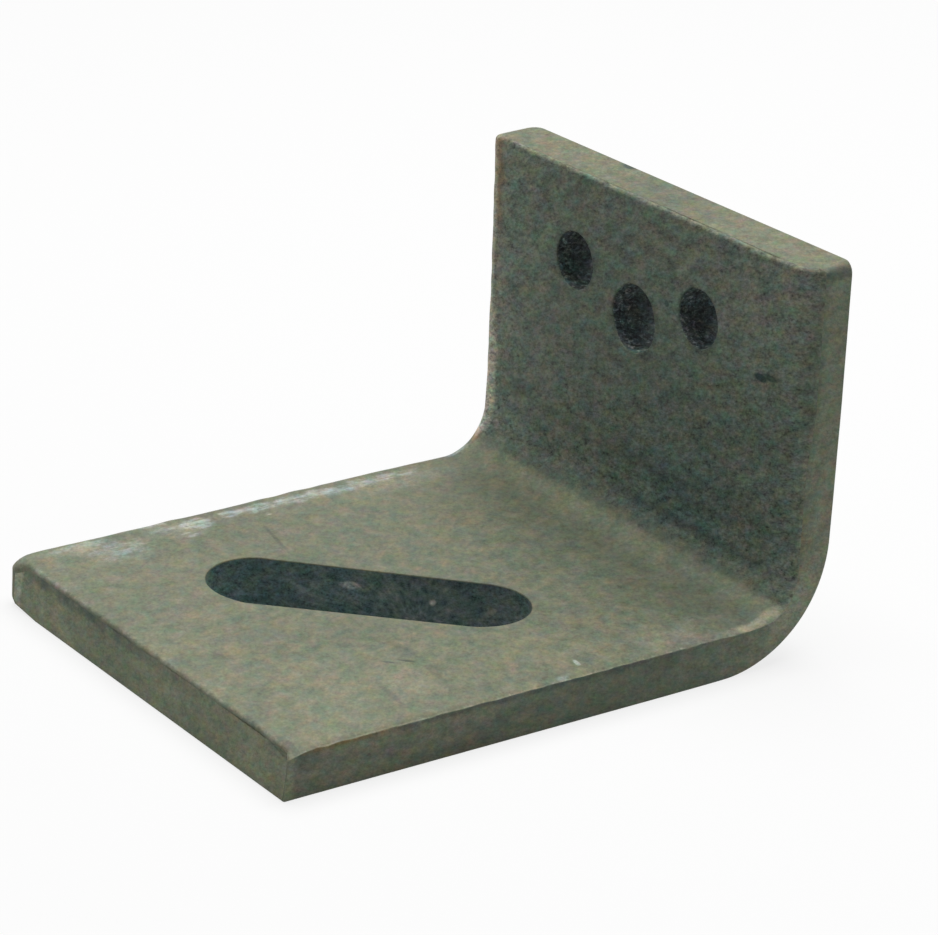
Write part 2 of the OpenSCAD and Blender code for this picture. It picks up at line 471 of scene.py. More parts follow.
class Nodes:
    """Short ways to add and join shader nodes in one tree."""

    def __init__(self, tree):
        self.tree = tree

    def put(self, value, socket):
        """Joins a socket, or sets a plain value."""
        if isinstance(value, bpy.types.NodeSocket):
            self.tree.links.new(value, socket)
        else:
            socket.default_value = value

    def add(self, kind, inputs=None, **settings):
        node = self.tree.nodes.new(kind)
        for key, value in settings.items():
            setattr(node, key, value)
        for key, value in (inputs or {}).items():
            self.put(value, node.inputs[key])
        return node

    def math(self, operation, *values, clamp=False):
        inputs = dict(enumerate(values))
        return self.add("ShaderNodeMath", inputs, operation=operation, use_clamp=clamp).outputs[0]

    def times(self, first, *others):
        """The product of several values."""
        for value in others:
            first = self.math("MULTIPLY", first, value)
        return first

    def scaled(self, value, amount, base):
        """A base value with a share of another value added."""
        return self.math("MULTIPLY_ADD", value, amount, base)

    def swing(self, value, middle, amount, base):
        """A base value, moved up and down by how far another value lies from its middle."""
        return self.scaled(self.math("SUBTRACT", value, middle), amount, base)

    def vector(self, operation, *values, out="Vector"):
        inputs = dict(enumerate(values))
        return self.add("ShaderNodeVectorMath", inputs, operation=operation).outputs[out]

    def noise(self, place, scale, detail=2.0, roughness=0.5, out="Fac"):
        values = {"Vector": place, "Scale": scale, "Detail": detail, "Roughness": roughness}
        return self.add("ShaderNodeTexNoise", values).outputs[out]

    def streaky(self, place, stretch, detail=3.0, roughness=0.6):
        """Noise with its own fineness along each axis."""
        return self.noise(self.vector("MULTIPLY", place, stretch), 1.0, detail, roughness)

    def fade(self, value, start, stop):
        """A smooth 0 to 1 as the value goes from start to stop."""
        values = {"Value": value, "From Min": start, "From Max": stop}
        node = self.add("ShaderNodeMapRange", values, interpolation_type="SMOOTHSTEP")
        return node.outputs["Result"]

    def between(self, value, low, low_full, high_full, high):
        """1 between two values, fading to 0 on both sides."""
        return self.times(self.fade(value, low, low_full), self.fade(value, high, high_full))

    def mix(self, share, one, two, blend="MIX"):
        node = self.add("ShaderNodeMix", data_type="RGBA", blend_type=blend)
        self.put(share, node.inputs["Factor"])
        for value, key in ((one, "A"), (two, "B")):
            socket = next(s for s in node.inputs if s.name == key and s.type == "RGBA")
            self.put(value if isinstance(value, bpy.types.NodeSocket) else (*value[:3], 1.0), socket)
        return next(s for s in node.outputs if s.type == "RGBA")

    def tint(self, share, colour, factors):
        """Multiplies a colour by one factor for each channel, where the share is 1."""
        return self.mix(share, colour, factors, "MULTIPLY")

    def place(self):
        return self.add("ShaderNodeTexCoord").outputs["Object"]

    def axes(self, place):
        """The X, Y and Z of a place."""
        return tuple(self.add("ShaderNodeSeparateXYZ", {0: place}).outputs)

    def group(self, group, inputs=None):
        return self.add("ShaderNodeGroup", inputs, node_tree=group).outputs


def new_group(name, inputs, outputs):
    """An empty shader node group; returns the group, its tools, its inputs and its outputs."""
    group = bpy.data.node_groups.new(name, "ShaderNodeTree")
    for label, kind, default in inputs:
        socket_type = "NodeSocket" + kind
        socket = group.interface.new_socket(name=label, in_out="INPUT", socket_type=socket_type)
        socket.default_value = default
    for label, kind in outputs:
        group.interface.new_socket(name=label, in_out="OUTPUT", socket_type="NodeSocket" + kind)
    tools = Nodes(group)
    return group, tools, tools.add("NodeGroupInput").outputs, tools.add("NodeGroupOutput").inputs


def grain_group():
    """Clouds, grain, soft tints and ripple of hot-rolled steel, with the height of its rough skin."""
    inputs = [("Scale", "Float", 1.0)]
    outputs = [
        ("Cloud", "Float"), ("Grain", "Float"), ("Tint", "Vector"), ("Ripple", "Float"),
        ("Height", "Float"),
    ]
    group, n, given, out = new_group("scale_grain", inputs, outputs)
    place = toned(n, n.place(), given["Scale"])
    slant = GRAIN_WAY.to_track_quat("Z", "Y").to_euler()
    mapping = {"Vector": place, "Rotation": slant, "Scale": GRAIN_STRETCH}
    drawn = n.add("ShaderNodeMapping", mapping, vector_type="TEXTURE").outputs[0]
    broad = n.noise(place, 30.0, 3.0, 0.55)
    ripple = n.noise(place, 260.0, 4.0, 0.68)
    grain = n.noise(drawn, 450.0, 3.0, 1.0)
    grain = n.swing(n.noise(drawn, 1700.0, 2.0, 0.75), 0.5, 0.65, grain)
    cloud = n.math("ADD", n.math("MULTIPLY", broad, 0.6), n.math("MULTIPLY", ripple, 0.4))
    n.put(n.fade(cloud, 0.36, 0.64), out["Cloud"])
    n.put(grain, out["Grain"])
    tint = n.vector("SUBTRACT", n.noise(drawn, 440.0, 2.0, 0.8, out="Color"), (0.5, 0.5, 0.5))
    n.put(n.vector("MULTIPLY", tint, TINT_WEIGHTS), out["Tint"])
    n.put(ripple, out["Ripple"])
    height = n.math("ADD", n.math("MULTIPLY", ripple, 0.6), n.math("MULTIPLY", grain, 0.4))
    n.put(height, out["Height"])
    return group


def patch_group():
    """A soft ragged patch round a point: 1 inside, 0 outside."""
    inputs = [
        ("Ripple", "Float", 0.5), ("Centre", "Vector", (0, 0, 0)), ("Size", "Vector", (1, 1, 1)),
        ("Turn", "Float", 0.0), ("Ragged", "Float", 0.5), ("Soft", "Float", 1.0),
    ]
    group, n, given, out = new_group("ragged_patch", inputs, [("Mask", "Float")])
    away = n.vector("SUBTRACT", n.place(), given["Centre"])
    rotation = {"Vector": away, "Angle": given["Turn"]}
    turned = n.add("ShaderNodeVectorRotate", rotation, rotation_type="Z_AXIS").outputs[0]
    far = n.vector("LENGTH", n.vector("DIVIDE", turned, given["Size"]), out="Value")
    far = n.swing(given["Ripple"], 0.5, given["Ragged"], far)
    start = n.scaled(given["Soft"], 0.25, 1.0)
    stop = n.scaled(given["Soft"], -0.7, 1.0)
    n.put(n.fade(far, start, stop), out["Mask"])
    return group


def patcher(n, group, skin):
    """Gives a function that lays ragged patches of one colour over another, scratched by streaks."""

    def lay(colour, spots, over, soft=1.0, streaks=None):
        for centre, size, turn, ragged, strength in spots:
            values = {
                "Ripple": skin["Ripple"], "Turn": math.radians(turn), "Ragged": ragged, "Soft": soft,
                "Centre": [c * MM for c in centre], "Size": [c * MM for c in size],
            }
            share = n.math("MULTIPLY", n.group(group, values)["Mask"], strength, clamp=True)
            if streaks:
                share = n.times(share, streaks)
            colour = n.mix(share, colour, over)
        return colour

    return lay


def new_material(name):
    """A material with its Principled shader and the tools for its tree."""
    mat = bpy.data.materials.new(name)
    mat.use_nodes = True
    return mat, Nodes(mat.node_tree), mat.node_tree.nodes["Principled BSDF"]


def toned(n, colour, tone):
    """A colour, or a place, scaled by one factor that may vary."""
    return n.add("ShaderNodeVectorMath", {0: colour, "Scale": tone}, operation="SCALE").outputs[0]


def speckled(n, colour, skin, tint, depth):
    """Breaks a colour up with soft tints and with light and dark grain; how much of each may vary."""
    tints = n.vector("ADD", toned(n, skin["Tint"], tint), (1.0, 1.0, 1.0))
    colour = n.vector("MULTIPLY", colour, tints)
    grain = n.swing(skin["Grain"], 0.5, depth, 1.0)
    return toned(n, colour, n.math("MAXIMUM", grain, DARKEST_GRAIN))


def along_bar(n, y, z):
    """The angle about the bend, from 0 along the foot to 1 along the upright."""
    across, down = n.math("SUBTRACT", y, BEND_AXIS_Y), n.math("SUBTRACT", BEND_AXIS_Z, z)
    turn = n.math("ARCTAN2", across, down)
    return n.scaled(turn, 1 / math.radians(BAR_SPAN), -BAR_START / BAR_SPAN)


def tone_ramp(n, value, stops):
    """A factor that changes along a value; the stops are (angle along the bar, factor up to 2)."""
    ramp = n.add("ShaderNodeValToRGB", {0: value})
    marks = ramp.color_ramp.elements
    while len(marks) < len(stops):
        marks.new(0.5)
    for mark, (turn, factor) in zip(marks, stops):
        mark.position = (turn - BAR_START) / BAR_SPAN
        mark.color = (factor / 2, factor / 2, factor / 2, 1)
    return n.math("MULTIPLY", ramp.outputs["Color"], 2.0)


def join_shader(n, shader, colour, roughness, height, bump, specular, metallic=0.0):
    """Joins the colour, the roughness and the rough skin to the shader."""
    n.put(colour, shader.inputs["Base Color"])
    n.put(roughness, shader.inputs["Roughness"])
    shader.inputs["Metallic"].default_value = metallic
    shader.inputs["Specular IOR Level"].default_value = specular
    strength, distance = bump
    skin = n.add("ShaderNodeBump", {"Height": height, "Strength": strength, "Distance": distance})
    n.put(skin.outputs[0], shader.inputs["Normal"])


def scale_tones(n, colour, place, inside):
    """Painted light and shade along the bend, and lighter, darker and tinted parts of the mill scale
    along the bar.
    """
    x, y, z = n.axes(place)
    wavy = n.streaky(place, (110, 0, 0))
    bar_way = n.swing(wavy, 0.5, 0.035, along_bar(n, y, z))
    # Painted light and shade: the TONES factors lighten and darken the scale along the bend.
    colour = toned(n, colour, tone_ramp(n, bar_way, TONES))
    colour = n.tint(n.times(inside, n.fade(z, 0.035, 0.055)), colour, HIGH_TINT)
    colour = n.tint(n.times(inside, n.fade(z, 0.06, 0.07)), colour, BY_TOP_TINT)
    low = n.times(n.between(z, 0.014, 0.019, 0.026, 0.037), inside)
    low = n.times(n.between(x, -0.012, 0.012, 0.024, 0.034), low)
    colour = n.tint(low, colour, LOW_TINT)
    by_bend = n.times(n.between(y, 0.015, 0.034, 0.046, 0.05), n.fade(x, -0.03, 0.0))
    colour = n.tint(by_bend, colour, BY_BEND_TINT)
    far_side = n.times(inside, n.fade(x, -0.022, -0.046))
    colour = toned(n, colour, n.scaled(far_side, 0.3, 1.0))
    streaks = n.times(n.math("SUBTRACT", n.streaky(place, (60, 60, 620)), 0.5), inside)
    return toned(n, colour, n.scaled(streaks, 0.6, 1.0))


def mill_scale(finish, grain, patch):
    """Olive-grey mill scale with worn edges, scuffs, stains and a trace of rust, and with painted
    light and shade along the bend and on the upright's edges.
    """
    mat, n, shader = new_material("mill_scale")
    skin = n.group(grain)
    lay = patcher(n, patch, skin)
    place = n.place()
    x, y, z = n.axes(place)
    inside = n.between(y, 0.0472, 0.0500, 0.052, 0.056)
    colour = n.mix(skin["Cloud"], finish.scale_dark, finish.scale_light)
    # Blue-green on the upright's inner face: partly the scale's own colour, partly a painted cool
    # tint of its shade.
    colour = n.mix(inside, colour, finish.scale_cool_and_shade)
    colour = scale_tones(n, colour, place, inside)
    colour = lay(colour, STAINS, finish.stain)
    colour = lay(colour, HOLE_RIMS, finish.stain, soft=0.3)
    colour = lay(colour, RUST, finish.rust)
    wear = n.add("ShaderNodeAttribute", attribute_name="wear").outputs["Fac"]
    rubbed = n.fade(n.scaled(skin["Ripple"], 1.5, wear), 1.3, 2.0)
    chips = n.fade(n.streaky(place, (0, 420, 0), roughness=0.7), 0.42, 0.6)
    kept = n.swing(chips, 1.0, n.fade(x, 0.046, 0.048), 1.0)
    worn = n.times(rubbed, n.fade(y, 0.05, 0.044), kept)
    colour = n.mix(worn, colour, finish.worn)
    beside = n.times(n.fade(wear, 0.2, 0.95), inside, n.fade(x, 0.045, 0.048))
    colour = n.mix(beside, colour, finish.side)
    colour = n.mix(n.times(n.fade(z, 0.0769, 0.0780), 0.6), colour, finish.top)
    # Pale haze on the foot; along the upright's far edge these patches are a painted highlight.
    colour = lay(colour, HAZE_AND_EDGE_LIGHT, finish.worn)
    # Bright burrs, partly a painted glint at the end of the crease.
    colour = lay(colour, BURRS_AND_GLINTS, finish.burr_and_glint)
    # Painted highlight along the upright's far edge.
    colour = lay(colour, FAR_EDGE_HIGHLIGHTS, finish.far_edge_highlight, soft=0.4)
    # Paler scale on the upright; the patch at its near edge is painted light over the shade of the
    # rolled edge.
    colour = lay(colour, PALE_AND_LIT, finish.scale_pale_and_lit)
    colour = lay(colour, PITS, finish.pit, soft=0.5)
    scratched = n.fade(n.streaky(place, (900, 160, 900), roughness=0.7), 0.32, 0.62)
    colour = lay(colour, SCUFFS, finish.scuff, streaks=scratched)
    coarser = n.between(y, 0.0475, 0.0503, 0.052, 0.056)
    tints = n.scaled(coarser, 0.25, 0.72)
    colour = speckled(n, colour, skin, tints, n.scaled(coarser, 1.6, 1.3))
    roughness = n.scaled(skin["Grain"], 0.3, 0.48)
    roughness = n.scaled(worn, -0.15, roughness)
    join_shader(n, shader, colour, roughness, skin["Height"], (0.4, 0.4 * MM), 0.25, metallic=0.1)
    return mat


def cropped_steel(finish, grain, patch):
    """Sheared ends and sides: dark and smooth under the inner edge of the free end, paler below, with
    painted light where the near side turns round the bend and on the far corner of the free end.
    """
    mat, n, shader = new_material("cropped_steel")
    skin = n.group(grain, {"Scale": 1.1})
    lay = patcher(n, patch, skin)
    place = n.place()
    x, y, z = n.axes(place)
    at_end = n.fade(y, -0.0585, -0.0593)
    colour = n.mix(skin["Cloud"], finish.crop_dark, finish.crop_light)
    # Painted light and shade along the sides: the near side is lighter where it turns round the bend,
    # as if lit there.
    tone = tone_ramp(n, along_bar(n, y, z), SIDE_TONES)
    colour = toned(n, colour, n.times(tone, n.scaled(at_end, 0.24, 1.0)))
    colour = n.tint(at_end, colour, END_TINT)
    colour = n.tint(n.between(y, -0.03, 0.005, 0.03, 0.045), colour, MID_SIDE_TINT)
    colour = n.tint(n.fade(z, 0.03, 0.05), colour, HIGH_SIDE_TINT)
    far_end = n.times(at_end, n.fade(x, 0.0, -0.03))
    colour = toned(n, colour, n.scaled(far_end, 0.16, 1.0))
    at_top = n.fade(z, 0.0768, 0.0776)
    cloudy = n.scaled(skin["Cloud"], 0.25, 0.7)
    colour = n.mix(n.times(at_top, cloudy), colour, finish.top)
    wander = n.scaled(skin["Ripple"], 0.005, z)
    band = n.times(n.fade(wander, 0.0090, 0.0106), at_end, n.fade(x, 0.035, -0.02))
    patchy = n.fade(n.streaky(place, (130, 0, 0), detail=2.0), 0.38, 0.62)
    colour = n.mix(n.times(band, n.scaled(patchy, 0.5, 0.35)), colour, finish.shear)
    # Painted light on the far corner of the free end, which lies in shade.
    corner = n.times(n.fade(x, -0.0440, -0.0450), n.fade(y, -0.0560, -0.0580))
    colour = n.mix(n.times(corner, 0.85), colour, finish.corner)
    colour = lay(colour, NICKS, finish.stain)
    colour = lay(colour, SIDE_RUST, finish.rust)
    colour = lay(colour, WORN_SIDES, finish.worn)
    colour = speckled(n, colour, skin, 0.85, 1.55)
    roughness = n.scaled(skin["Grain"], 0.3, 0.5)
    join_shader(n, shader, colour, roughness, skin["Height"], (0.5, 0.5 * MM), 0.25, metallic=0.1)
    return mat


def cut_wall(finish, grain, patch):
    """Blue-black walls of the slot, walls of the holes darkened with painted shade, and pale flecks.
    """
    mat, n, shader = new_material("cut_wall")
    skin = n.group(grain)
    lay = patcher(n, patch, skin)
    place = n.place()
    x, y, z = n.axes(place)
    holes = n.fade(z, 0.02, 0.03)
    colour = n.mix(skin["Cloud"], finish.cut, finish.cut_pale)
    colour = lay(colour, FLECKS, finish.cut_fleck)
    # Painted shade in the holes: their walls darkened.
    colour = n.mix(n.times(holes, 0.9), colour, finish.cut_shade)
    colour = lay(colour, HOLE_FEET, finish.cut)
    fleck = n.fade(n.streaky(place, (1000, 1000, 1400), detail=2.0, roughness=0.7), 0.5, 0.68)
    fleck = n.times(fleck, n.fade(y, 0.062, 0.051), holes)
    colour = n.mix(fleck, colour, finish.cut_fleck)
    colour = lay(colour, WALL_SHADE, finish.cut_shade)
    colour = lay(colour, SPOTS, finish.scuff)
    slot_near = n.times(n.fade(y, -0.014, 0.004), n.fade(z, 0.03, 0.02))
    colour = n.tint(slot_near, colour, SLOT_TINT)
    colour = speckled(n, colour, skin, 0.95, n.scaled(holes, 2.6, 2.7))
    roughness = n.scaled(skin["Grain"], 0.3, 0.55)
    join_shader(n, shader, colour, roughness, skin["Height"], (0.5, 0.5 * MM), 0.2)
    return mat


# The way that the rolled grain is drawn out, and how far: across it twice, then along it.
GRAIN_WAY = Vector((-0.75, 0.55, -0.37))
GRAIN_STRETCH = (1.35, 1.0, 2.2)
# How much the soft tints move red, green and blue.
TINT_WEIGHTS = (1.3, 0.58, 1.0)
# The lowest factor that the grain may reach.
DARKEST_GRAIN = 0.1
# Axis of the inside of the bend, and the angles about it that the bar spans, in degrees.
BEND_AXIS_Y, BEND_AXIS_Z = 41 * MM, 19.5 * MM
BAR_START, BAR_SPAN = -90, 270
# Factors for red, green and blue on parts of the bar.
HIGH_TINT = (0.98, 1.0, 0.95)
BY_TOP_TINT = (1.07, 1.0, 1.0)
LOW_TINT = (0.83, 0.94, 1.03)
BY_BEND_TINT = (0.945, 1.0, 1.03)
END_TINT = (0.95, 0.98, 0.92)
MID_SIDE_TINT = (0.9, 0.99, 1.0)
HIGH_SIDE_TINT = (0.94, 1.0, 0.97)
SLOT_TINT = (1.12, 1.0, 0.98)
# Factors along the inner face: angle about the bend, factor. They are painted light and shade: a
# painted highlight on the lit side of the crease, and painted lighter and darker bands along the foot
# and up the upright.
TONES = (
    (-85, 1.12), (-83.5, 1.06), (-81, 0.99), (-77, 1.0), (-65, 0.98), (-50, 0.97), (-20, 0.97),
    (0, 0.98), (12, 1.02), (24, 1.14), (33, 1.34), (44, 1.42), (48, 1.3), (52, 1.04), (62, 1.09),
    (75, 1.14), (88, 1.42), (95, 1.44), (110, 1.27), (125, 1.2), (145, 1.28), (158, 1.15),
    (165, 1.2), (168, 1.28), (171, 1.2),
)
# Factors along the cropped sides, the same way; partly painted light: the lighter band where the near
# side turns round the bend.
SIDE_TONES = (
    (-85, 0.8), (-80, 0.78), (-75, 0.58), (-60, 0.6), (-48, 0.75), (-20, 0.84), (0, 0.88),
    (22, 0.96), (42, 1.15), (58, 1.22), (75, 1.03), (100, 0.9), (125, 0.91), (171, 0.93),
)
# Patches in mm: centre, size, turn in degrees, raggedness, strength.
SCUFFS = (
    ((-44.2, -21.2, 10), (2.7, 4, 3), 0, 1.2, 1.6),
    ((-44.5, -27.5, 10), (1.8, 4, 3), 0, 1.6, 0.55),
    ((-40.5, -25.2, 10), (1.5, 2, 3), 0, 1.4, 0.7),
    ((-40.5, -41, 10), (5, 7, 3), 0, 1.6, 0.5),
    ((-46, -47, 10), (1.8, 7, 3), 0, 1.6, 0.7),
    ((-48.4, -31, 10), (1.3, 8, 3), 0, 1.8, 0.8),
    ((-45.6, -13, 10), (1.9, 4.5, 3), 0, 1.8, 0.9),
    ((-45.4, -6, 10), (2, 6, 3), 0, 1.8, 0.9),
    ((-45.8, 3, 10), (2.1, 7, 3), 0, 2, 0.8),
    ((-45.2, 11, 10), (2, 8, 3), 0, 2, 0.85),
    ((-46, 19, 10), (2, 7, 3), 0, 2, 0.8),
    ((-46.4, 26, 10), (1.7, 6, 3), 0, 2, 0.7),
    ((-41.6, -6.6, 10), (0.7, 0.8, 2), 0, 0.8, 0.8),
    ((45.8, 4.3, 10), (1.6, 0.5, 2), 12, 0.4, 1.8),
    ((49.2, -1.6, 9.6), (0.8, 1.6, 2), 0, 2, 0.5),
    ((49, 40, 9.6), (1, 7, 2.5), 0, 1.8, 0.25),
    ((48.8, 46, 11.5), (1.2, 3.5, 2.5), 0, 1.8, 0.3),
    ((-49.2, 44.5, 12), (1.3, 3.5, 4), 0, 1.4, 0.95),
)
# Paler scale on the upright; the patch at its near edge is painted light over the shade of the rolled
# edge.
PALE_AND_LIT = (
    ((36, 50.5, 62), (20, 3, 18), 0, 1, 0.3),
    ((-40, 50.5, 44), (16, 3, 22), 0, 1, 0.25),
    ((-19, 50.5, 26), (10, 3, 10), 0, 1.2, 0.45),
    ((-12, 50.5, 36), (24, 3, 30), 0, 1.2, 0.2),
    ((26, 50.5, 70), (22, 3, 9), 0, 1.2, 0.35),
    ((45, 51.5, 70), (6, 4, 12), 0, 1, 0.3),
    ((-19, 50.5, 20), (9, 3, 4), 0, 1.2, 0.35),
    ((25, 50.5, 24.5), (5, 3, 3), 0, 1.2, 0.35),
    ((-28, 50.5, 38), (14, 3, 14), 0, 1.2, 0.35),
)
# Pale haze on the foot; the patches along the upright's far edge are a painted highlight.
HAZE_AND_EDGE_LIGHT = (
    ((-40.5, -41, 10), (6, 8, 3), 0, 1.6, 0.15),
    ((-45, -48, 10), (3, 9, 3), 0, 1.6, 0.5),
    ((-44, -26, 10), (4, 9, 3), 0, 2, 0.4),
    ((-45, 4, 10), (2.2, 24, 3), 0, 1.6, 0.35),
    ((-44, 28, 10), (5, 16, 3), 0, 1.4, 0.22),
    ((-48, 50.5, 38), (6.5, 3, 18), 0, 1.2, 0.6),
    ((-50, 50.5, 36), (4.5, 3, 34), 0, 0.8, 0.9),
    ((-50, 50.5, 62), (4.2, 3, 26), 0, 0.8, 0.5),
    ((37, -27, 10), (8, 6, 3), 0, 1.4, 0.25),
    ((45, 30, 10), (6, 15, 3), 0, 1.2, 0.35),
    ((-42, 22, 10), (7, 15, 3), 0, 1.2, 0.2),
    ((36, -42, 10), (12, 9, 3), 0, 1.6, 0.12),
)
# Bright burrs, partly a painted yellowish glint at the end of the crease.
BURRS_AND_GLINTS = (
    ((48.5, 47.6, 11), (1.2, 3.2, 1.5), 0, 1.2, 0.65),
    ((49, 42, 10), (1.1, 5.5, 1.5), 0, 1.4, 0.7),
    ((-48.8, 48.4, 14.6), (1, 2.5, 2.5), 0, 1.4, 0.7),
)
# Painted highlight along the upright's far edge, over the shade of its rolled edge.
FAR_EDGE_HIGHLIGHTS = (
    ((-50, 50.5, 28), (5, 3, 19), 0, 0.6, 0.62),
    ((-50, 50.5, 58), (3, 3, 24), 0, 0.7, 0.28),
)
PITS = (
    ((37.4, 50.5, 53.9), (2, 3, 0.8), 0, 0.8, 1),
    ((39.8, 50.5, 54.7), (2.2, 3, 0.7), 0, 0.8, 0.8),
    ((8.5, 50.5, 59.6), (0.8, 3, 0.8), 0, 0.8, 0.8),
)
STAINS = (
    ((9, 50.5, 67.5), (2, 3, 1.4), 0, 1.4, 0.5),
    ((-8, 50.5, 66), (1.4, 3, 1), 0, 1.2, 0.5),
    ((2, 50.5, 47.6), (3.2, 3, 2.4), 0, 1.8, 0.6),
    ((17, 50, 17.6), (31, 6, 1.1), 0, 2.2, 0.6),
    ((3, 50.5, 25.2), (24, 4, 2), 0, 2.2, 0.45),
    ((9, -38, 10), (11, 18, 3), 0, 1.6, 0.14),
    ((5, 24, 10), (15, 12, 3), 0, 1.6, 0.09),
    ((14, -20, 10), (12, 12, 3), 0, 1.4, 0.18),
    ((-37, 50.5, 28.4), (5, 4, 3), 0, 1.8, 0.45),
    ((20, 50.5, 22.5), (12, 4, 1.2), 0, 2.2, 0.3),
    ((33, 50.5, 27), (15, 4, 7), 0, 2.2, 0.1),
    ((-42, 50.5, 30), (4, 4, 5), 0, 2.2, 0.3),
    ((-36, 50.5, 68), (7, 4, 8), 0, 1.2, 0.08),
    ((17, 47.4, 12.5), (20, 1.6, 2), 0, 1.6, 0.17),
    ((4, -56, 10), (14, 4, 3), 0, 1.4, 0.1),
    ((46, -15, 10), (4, 30, 3), 0, 1.6, 0.1),
    ((-30, -12, 10), (7.5, 0.5, 2), 12, 0.9, 0.6),
    ((23.5, -19.4, 10), (6.5, 1.1, 2), -6, 1.8, 0.3),
    ((36.5, -20.2, 10), (7, 1.1, 2), 12, 1.8, 0.32),
    ((29.4, -21.6, 10), (1.9, 0.6, 2), -45, 0.8, 0.9),
    ((28, -25, 10), (1.7, 0.5, 2), -45, 0.8, 0.7),
    ((38.5, -32, 10), (6.5, 0.8, 2), 8, 1.6, 0.45),
    ((10, -50, 10), (0.9, 0.9, 2), 0, 1.2, 0.45),
    ((15, -45, 10), (0.7, 0.9, 2), 0, 1.2, 0.35),
    ((47, -58.5, 10), (5, 0.9, 2), 0, 1.6, 0.45),
)
WALL_SHADE = (
    ((3, 7, 9.4), (14, 3, 1.4), -45, 1, 0.35),
    ((20, 10, 6), (4.5, 4.5, 6), 0, 1.2, 0.5),
)
HOLE_RIMS = (
    ((-21, 50.5, 59.5), (6.6, 1.2, 6.6), 0, 0.9, 0.7),
    ((18, 50.5, 59.5), (6.6, 1.2, 6.6), 0, 0.9, 0.7),
    ((-1.5, 50.5, 53.5), (7.6, 1.2, 7.6), 0, 0.9, 0.7),
)
RUST = (
    ((-49.8, 50.5, 45), (1.3, 3, 60), 0, 0.7, 1),
    ((-49.8, 50.5, 66), (4.6, 3, 18), 0, 0.8, 1.2),
    ((-48.6, 48, 15), (1.4, 3, 3), 0, 1.4, 0.9),
    ((-20, 25, 10), (5, 4, 3), 0, 2.4, 0.25),
    ((22, 36, 10), (4, 3, 3), 0, 2.4, 0.25),
)
NICKS = (
    ((-17.1, 60.4, 78.4), (2.1, 1.7, 1.8), 0, 0.4, 2),
    ((50, -58, 9), (1.5, 2.5, 2), 0, 1.4, 0.5),
    ((50, -40, 6), (1.5, 18, 4), 0, 1.6, 0.15),
    ((50, -10, 9.2), (1.5, 36, 0.9), 0, 1.8, 0.6),
    ((49.8, 57.5, 77.2), (2.2, 5, 1.8), 0, 1.2, 0.7),
    ((0, 55, 78.5), (16, 7, 3), 0, 1.2, 0.3),
    ((47, 54, 78.5), (5, 6, 3), 0, 1.2, 0.15),
)
SIDE_RUST = (
    ((50, -48, 9.3), (1.5, 11, 0.9), 0, 1.6, 0.65),
)
WORN_SIDES = (
    ((49.8, 53, 66), (1.2, 1, 8), 0, 1.4, 0.5),
    ((49, -60, 4), (2, 2, 6), 0, 1.4, 0.3),
)
FLECKS = (
    ((-9, -5.2, 5.4), (9, 1.5, 3), -45, 1.6, 0.16),
    ((-17, -13.2, 6), (11, 2.5, 5), -45, 1.4, 0.13),
)
SPOTS = (
    ((-11.3, -7.5, 6.4), (2.1, 2, 0.8), -45, 1.2, 1.2),
    ((0.4, 4.2, 4.7), (0.8, 2, 0.7), -45, 1, 0.9),
)
HOLE_FEET = (
    ((-0.5, 52.5, 46.9), (4, 3, 1.8), 0, 1, 0.7),
    ((-24, 53, 56.5), (3.5, 3.5, 3), 0, 1.4, 0.6),
)
# Stage: reach and glow of the floor, light from all round, and the lamp's place, width and power.
FLOOR_REACH = 6.0
FLOOR_GLOW = 0.8
SURROUND = 0.15
LAMP_PLACE = (-0.1, 0.20, 1.15)
LAMP_SIZE = 1.0
LAMP_POWER = 14.0


class ANCHOR_OT_bar(bpy.types.Operator):
    """Model the bent bar with its slot, holes and worn edges"""

    bl_idname = "anchor.bar"
    bl_label = "Bent bar"

    def execute(self, context):
        sizes = context.scene.anchor_sizes
        finish = context.scene.anchor_finish
        bar = BentBar(sizes)
        obj = as_object("bent_bar", bar_mesh(bar))
        grain, patch = grain_group(), patch_group()
        for make in (mill_scale, cut_wall, cropped_steel):
            obj.data.materials.append(make(finish, grain, patch))
        cut_openings(obj, self.slot_cutter(bar) + self.hole_cutters(bar))
        mark_wear(obj.data, bar)
        obj.data.shade_smooth()
        obj.data.set_sharp_from_angle(angle=SHARP_ANGLE)
        smooth = obj.modifiers.new("even_shading", "WEIGHTED_NORMAL")
        smooth.keep_sharp = True
        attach(obj, "root")
        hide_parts(NODE)
        return {"FINISHED"}

    def slot_cutter(self, bar):
        """The cutting body of the diagonal slot through the foot."""
        s = bar.s
        slot = bore_cutter(s.slot_width / 2, bar.t, s.rim, s.slot_centres, skew=s.slot_skew)
        place = Matrix.Translation((0, bar.front + s.slot_from_end, bar.t))
        place = place @ Matrix.Rotation(s.slot_angle, 4, "Z")
        bmesh.ops.transform(slot, matrix=place, verts=slot.verts)
        return [as_object("slot_cutter", slot)]

    def hole_cutters(self, bar):
        """The cutting bodies of the three holes through the upright."""
        s = bar.s
        upper_z = bar.top - s.hole_from_top
        holes = [
            (s.hole_group - s.hole_pitch / 2, upper_z, s.hole, s.hole_oval),
            (s.hole_group + s.hole_pitch / 2, upper_z, s.hole, s.hole_oval),
            (s.hole_group, upper_z - s.low_hole_drop, s.low_hole, 0.0),
        ]
        cutters = []
        for x, z, d, oval in holes:
            bore = bore_cutter(d / 2, bar.t, s.rim, oval, taper=s.hole_taper, ragged=HOLE_RAGGED)
            place = Matrix.Translation((x, bar.inner_y, z)) @ Matrix.Rotation(math.pi / 2, 4, "X")
            bmesh.ops.transform(bore, matrix=place, verts=bore.verts)
            cutters.append(as_object("hole_cutter", bore))
        return cutters


